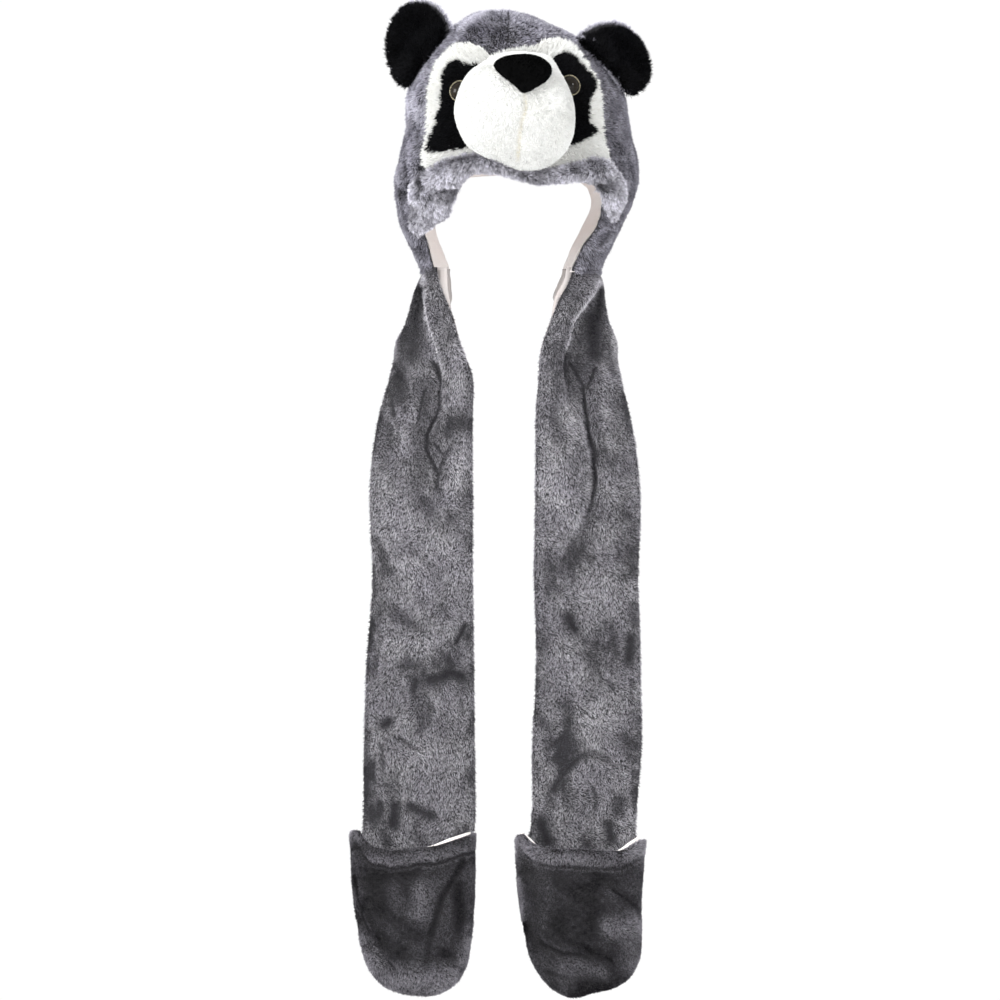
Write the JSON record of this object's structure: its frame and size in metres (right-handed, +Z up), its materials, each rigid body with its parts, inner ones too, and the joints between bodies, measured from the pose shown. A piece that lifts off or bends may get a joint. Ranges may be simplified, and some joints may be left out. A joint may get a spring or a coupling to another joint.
{
  "type": "animal beanie with scarf flaps and mitten pockets",
  "caption": "Lined plush hood with a raccoon-like padded face and round ears, and two long scarf flaps that end in open-topped mitten pockets.",
  "frame": {"origin": "inside top of the hood, where the head touches the lining", "axes": "+Z up, the face looking to -Y, +X to the right in the picture"},
  "size_m": [0.301, 0.2957, 0.9994],
  "materials": {
    "grey_plush": "short grey pile, pressed darker in patches",
    "pocket_plush": "smooth dark grey pile",
    "white_plush": "white pile",
    "black_plush": "black pile",
    "nose_felt": "very short black pile",
    "lining_cloth": "smooth pale brushed cloth",
    "eye_plastic": "polished dark plastic",
    "rim_plastic": "polished pale gold plastic"
  },
  "bodies": {
    "root": {"crown": "grey_plush", "lining": "lining_cloth", "brow_band": "grey_plush", "face_mask": "white_plush", "eye_patch_left": "black_plush", "eye_patch_right": "black_plush", "muzzle": "white_plush", "nose": "nose_felt", "eye_left": "eye_plastic", "eye_right": "eye_plastic", "eye_ring_left": "rim_plastic", "eye_ring_right": "rim_plastic", "ear_front_left": "black_plush", "ear_front_right": "black_plush", "ear_back_left": "grey_plush", "ear_back_right": "grey_plush", "flap_left": "grey_plush", "flap_right": "grey_plush", "flap_lining_left": "lining_cloth", "flap_lining_right": "lining_cloth", "mitten_left": "pocket_plush", "mitten_right": "pocket_plush", "mitten_lining_left": "lining_cloth", "mitten_lining_right": "lining_cloth"}
  },
  "joints": []
}
